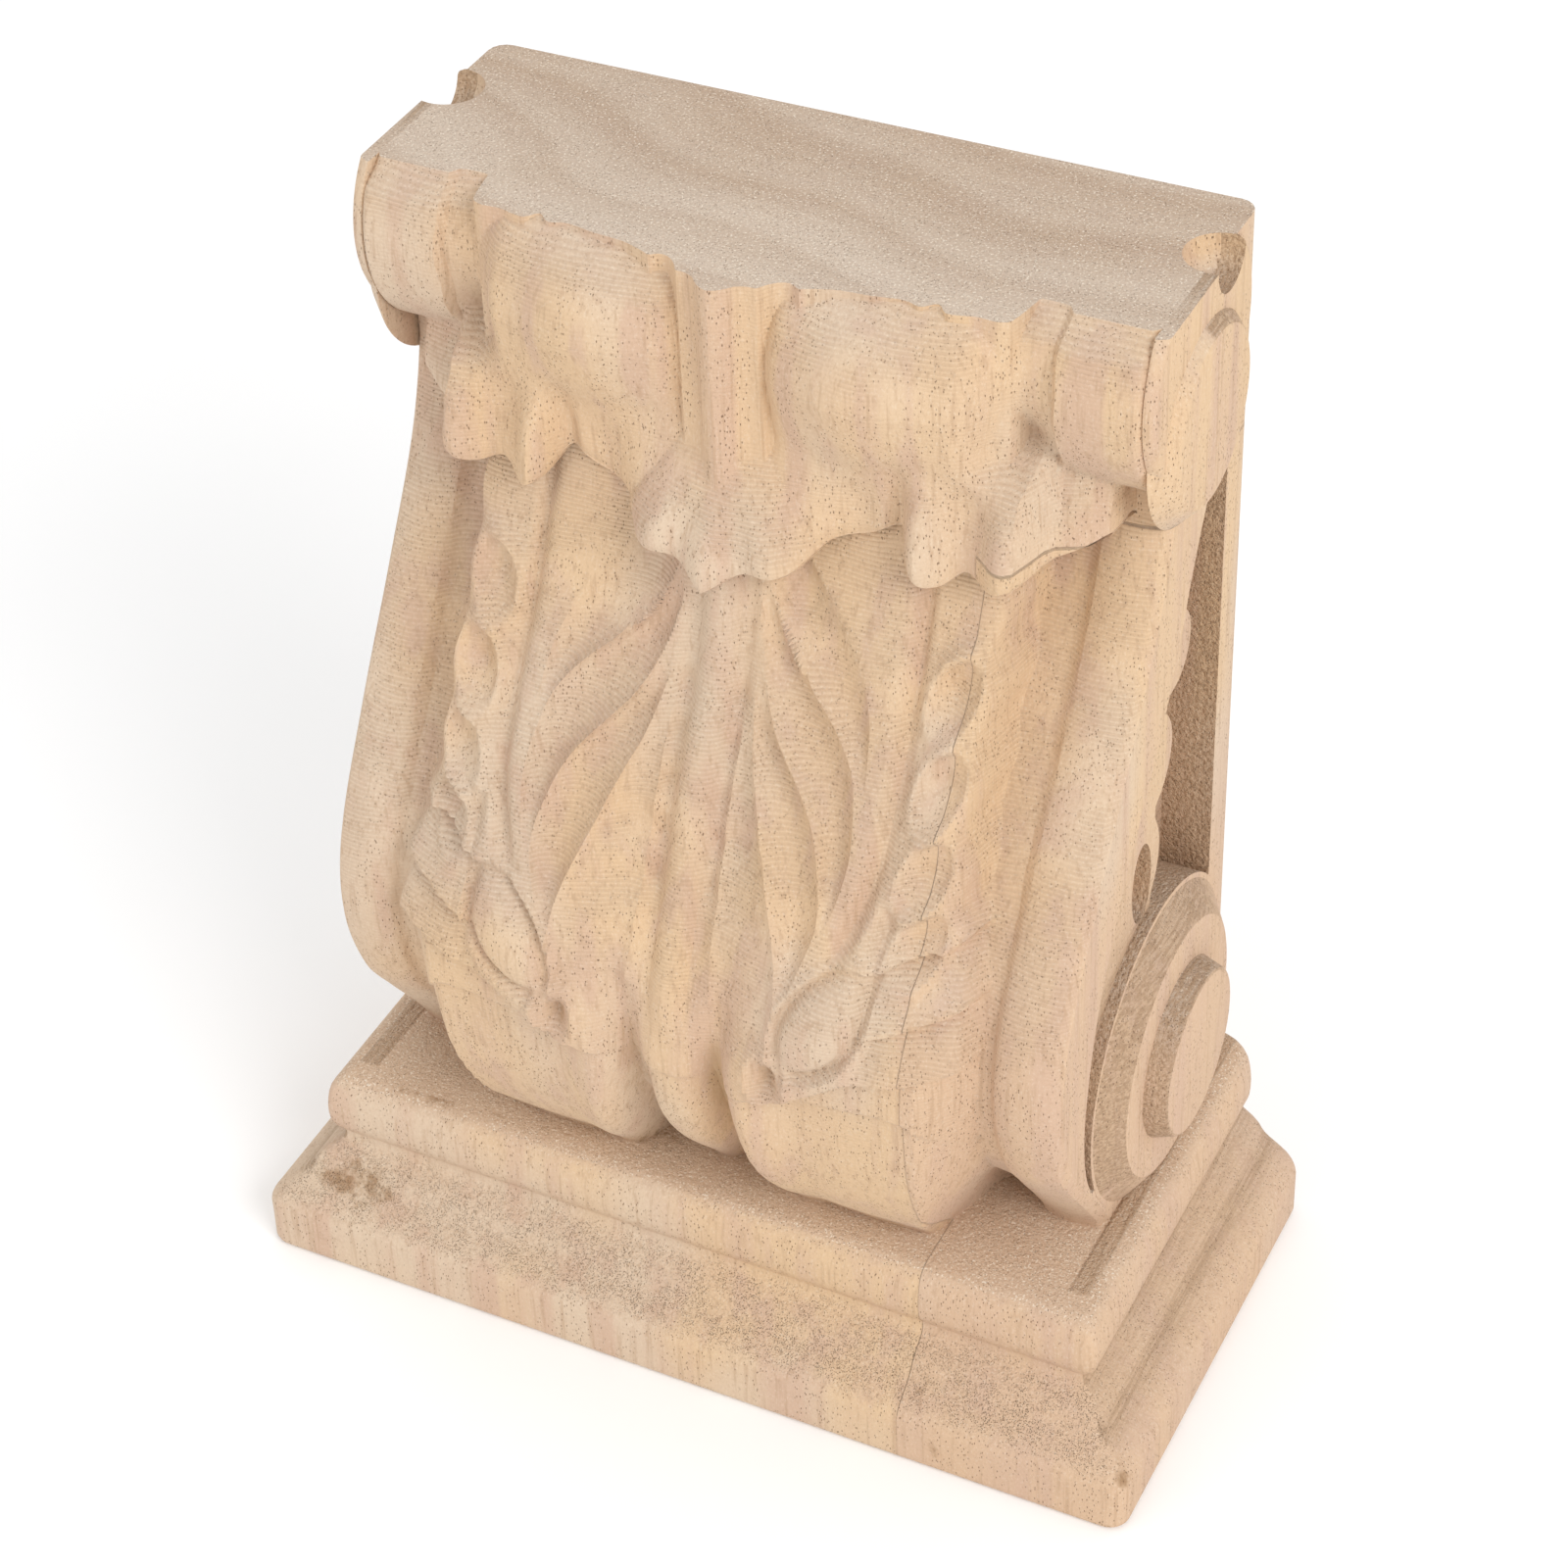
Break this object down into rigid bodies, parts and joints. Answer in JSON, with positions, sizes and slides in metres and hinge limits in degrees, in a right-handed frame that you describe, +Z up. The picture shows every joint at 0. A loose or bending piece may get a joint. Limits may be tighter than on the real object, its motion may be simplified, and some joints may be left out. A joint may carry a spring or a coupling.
{
  "type": "corbel",
  "caption": "Small carved wood corbel with a drooping leaf, rolled top, side scrolls and a moulded foot, bare unfinished wood",
  "frame": {"origin": "centre of the underside of the moulded foot", "axes": "+Z up from the underside to the narrow end, -Y out of the carved front, +Y out of the flat back, +X to the right seen from the front"},
  "size_m": [0.122, 0.063, 0.15],
  "materials": {
    "bare_wood": "matte"
  },
  "bodies": {
    "root": {"corbel": "bare_wood"}
  },
  "joints": []
}
